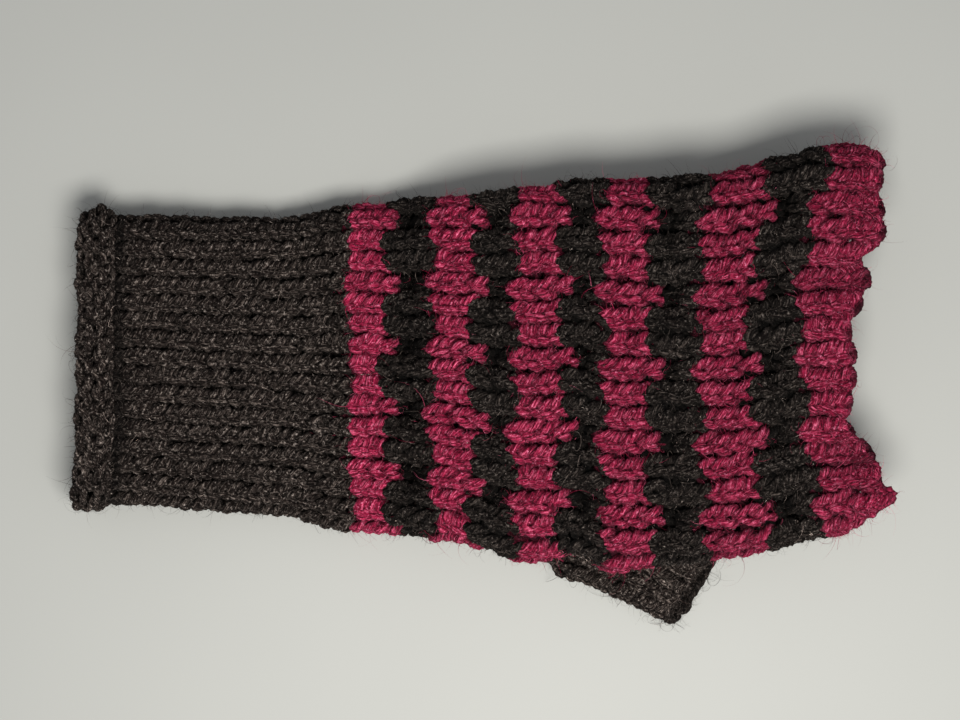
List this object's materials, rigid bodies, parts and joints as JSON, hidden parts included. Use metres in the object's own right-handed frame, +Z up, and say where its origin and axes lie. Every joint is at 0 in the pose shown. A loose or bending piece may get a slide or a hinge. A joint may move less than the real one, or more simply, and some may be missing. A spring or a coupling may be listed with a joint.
{
  "type": "knitted fingerless mitt",
  "caption": "Hand-knitted fingerless mitt with a rolled charcoal cuff, scalloped charcoal and raspberry bands and a short thumb folded under the palm.",
  "frame": {"origin": "on the table, under the middle of the whole mitt's box", "axes": "+X from the rolled brim to the finger opening, +Y across the hand away from the thumb, +Z up from the table through the back of the hand"},
  "size_m": [0.2032, 0.1183, 0.0258],
  "materials": {
    "charcoal_yarn": "heathered dark charcoal-brown wool with pale flecks, matte and slightly fuzzy",
    "raspberry_yarn": "raspberry wool with darker and paler fibres, matte and slightly fuzzy"
  },
  "bodies": {
    "hand": {"raspberry_band_1": "raspberry_yarn", "charcoal_band_1": "charcoal_yarn", "raspberry_band_2": "raspberry_yarn", "charcoal_band_2": "charcoal_yarn", "raspberry_band_3": "raspberry_yarn", "charcoal_band_3": "charcoal_yarn", "raspberry_band_4": "raspberry_yarn", "charcoal_band_4": "charcoal_yarn", "raspberry_band_5": "raspberry_yarn", "charcoal_band_5": "charcoal_yarn", "raspberry_band_6": "raspberry_yarn", "finger_cast_off_edge": "raspberry_yarn", "raspberry_carried_strand": "raspberry_yarn", "charcoal_carried_strand": "charcoal_yarn", "thumb_picked_up_edge": "charcoal_yarn"},
    "cuff": {"cuff_rolled_brim": "charcoal_yarn", "cast_on_edge": "charcoal_yarn", "cuff_tube": "charcoal_yarn", "cuff_wrist_rows": "charcoal_yarn"},
    "thumb": {"thumb_tube": "charcoal_yarn", "thumb_cast_off_edge": "charcoal_yarn"}
  },
  "joints": [
    {"name": "wrist_bend", "type": "hinge", "parent": "hand", "child": "cuff", "pos_m": [-0.03905, 0.005, 0.00625], "axis": [0, 1, 0], "range_deg": [0, 60], "deforming": ["cuff_wrist_rows"]},
    {"name": "thumb_swing", "type": "hinge", "parent": "hand", "child": "thumb", "pos_m": [0.0204, -0.0269, 0.0043], "axis": [0, 0, 1], "range_deg": [-40, 30]}
  ]
}
